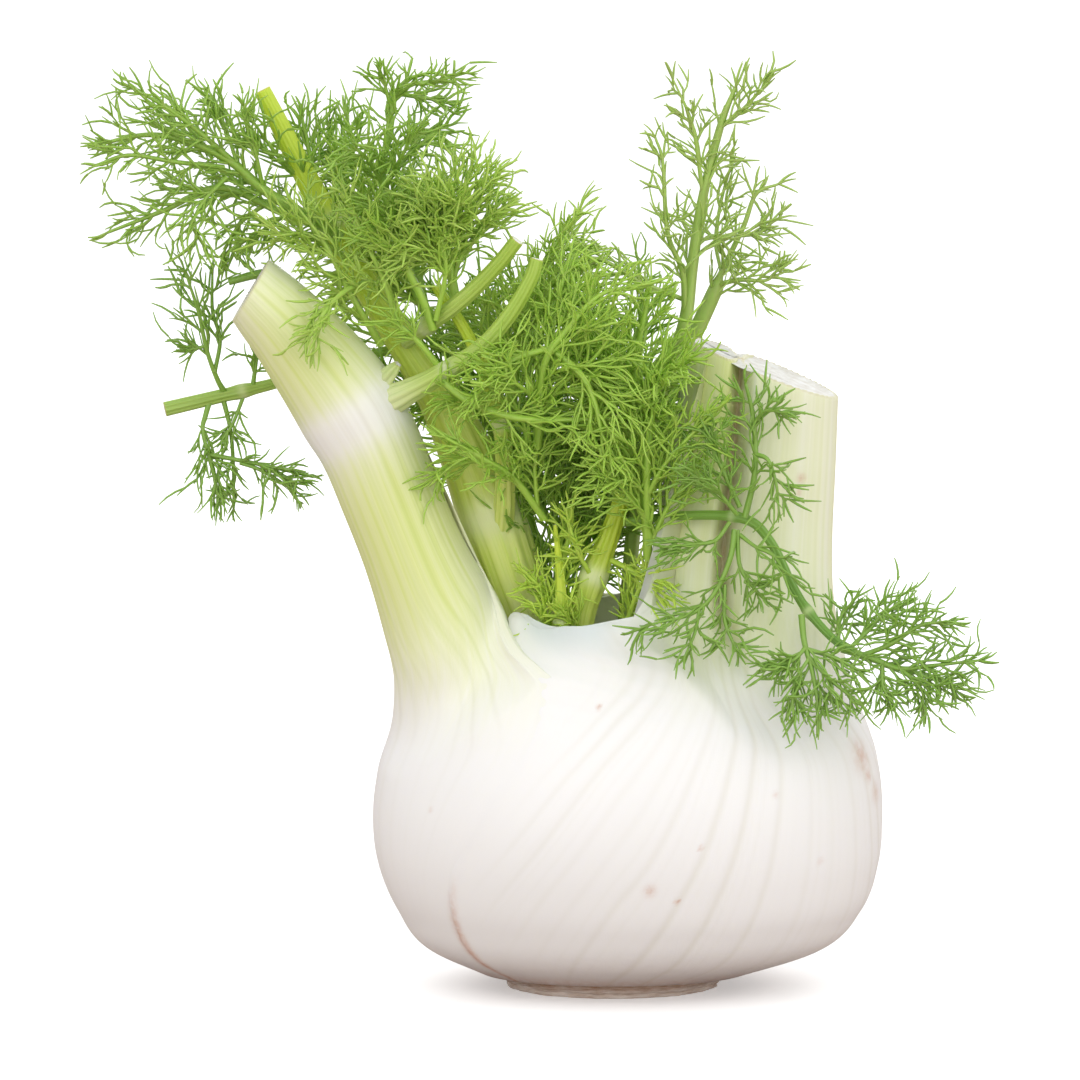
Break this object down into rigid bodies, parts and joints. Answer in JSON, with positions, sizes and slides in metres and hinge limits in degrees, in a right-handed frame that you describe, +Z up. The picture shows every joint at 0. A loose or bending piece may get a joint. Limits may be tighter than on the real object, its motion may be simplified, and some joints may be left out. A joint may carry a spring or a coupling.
{
  "type": "fennel bulb",
  "caption": "Florence fennel bulb: broad clasping leaf bases on a cut root plate, thick stalks cut short at the top, and feathery green fronds rising from the throat",
  "frame": {"origin": "the centre of the flat underside of the cut root plate, on the surface that the bulb stands on", "axes": "+Z up, along the bulb from root plate to cut stalks; +X to the right of the broad front face, towards the upright pair of stalks; +Y to the back, across the flattened bulb"},
  "size_m": [0.1807, 0.0737, 0.1868],
  "materials": {
    "root_plate": "dry, fibrous cut face, beige-brown",
    "sheath": "satin, waxy white to pale yellow-green plant skin, finely ribbed",
    "stalk": "satin yellow-green plant skin, finely ribbed",
    "frond": "satin mid-green feathery leaf threads"
  },
  "bodies": {
    "root": {"back_left_frond": "frond", "back_right_frond": "frond", "centre_back_frond": "frond", "centre_frond": "frond", "crown_frond": "frond", "cut_branch_lower": "stalk", "cut_branch_upper": "stalk", "far_left_frond": "frond", "hanging_frond": "frond", "hanging_lower_frond": "frond", "hanging_stem": "stalk", "heart_frond": "frond", "heart_shoot": "stalk", "heart_stalk": "stalk", "heart_stalk_frond": "frond", "inner_fork_stalk": "stalk", "inner_left_stalk": "stalk", "left_leaf_base": "sheath", "left_low_frond": "frond", "left_twig": "stalk", "long_stalk_frond": "frond", "lower_left_frond": "frond", "node_lower_frond": "frond", "node_upper_frond": "frond", "right_front_frond": "frond", "right_leaf_base": "sheath", "root_plate": "root_plate", "twig_lower_frond": "frond", "twig_upper_frond": "frond", "upper_left_frond": "frond", "upper_middle_frond": "frond", "upper_right_frond": "frond", "upright_frond": "frond", "upright_side_frond": "frond"}
  },
  "joints": []
}
